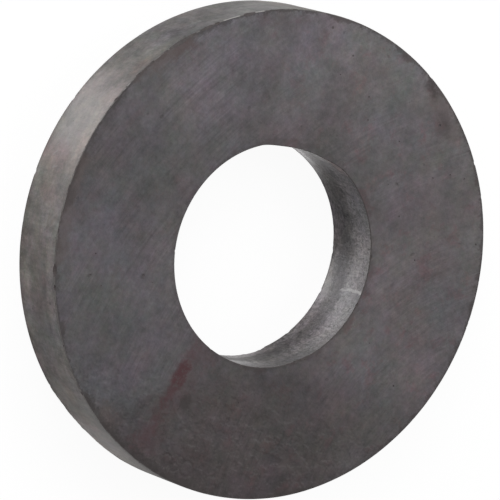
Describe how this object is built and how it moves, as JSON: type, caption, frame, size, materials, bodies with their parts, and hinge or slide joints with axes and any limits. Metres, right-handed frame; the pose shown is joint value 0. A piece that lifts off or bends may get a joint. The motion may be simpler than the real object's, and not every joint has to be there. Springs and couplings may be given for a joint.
{
  "type": "ferrite ring magnet",
  "caption": "Flat sintered ferrite ring magnet with a round bore, pressed round walls, ground pole faces and chipped rims; clamps or seats over a pole piece.",
  "frame": {"origin": "centre of the back pole face, on the axis of the bore; the ring rests on this face", "axes": "+Z along the bore axis, from the back pole face up to the front pole face; +X and +Y lie in the back face, and the picture is taken from the -Y side"},
  "size_m": [0.07, 0.07, 0.0105],
  "materials": {
    "ferrite": "matte dark grey hard ferrite, ground on the pole faces and as pressed and fired on the walls"
  },
  "bodies": {
    "root": {"ring_magnet": "ferrite"}
  },
  "joints": []
}
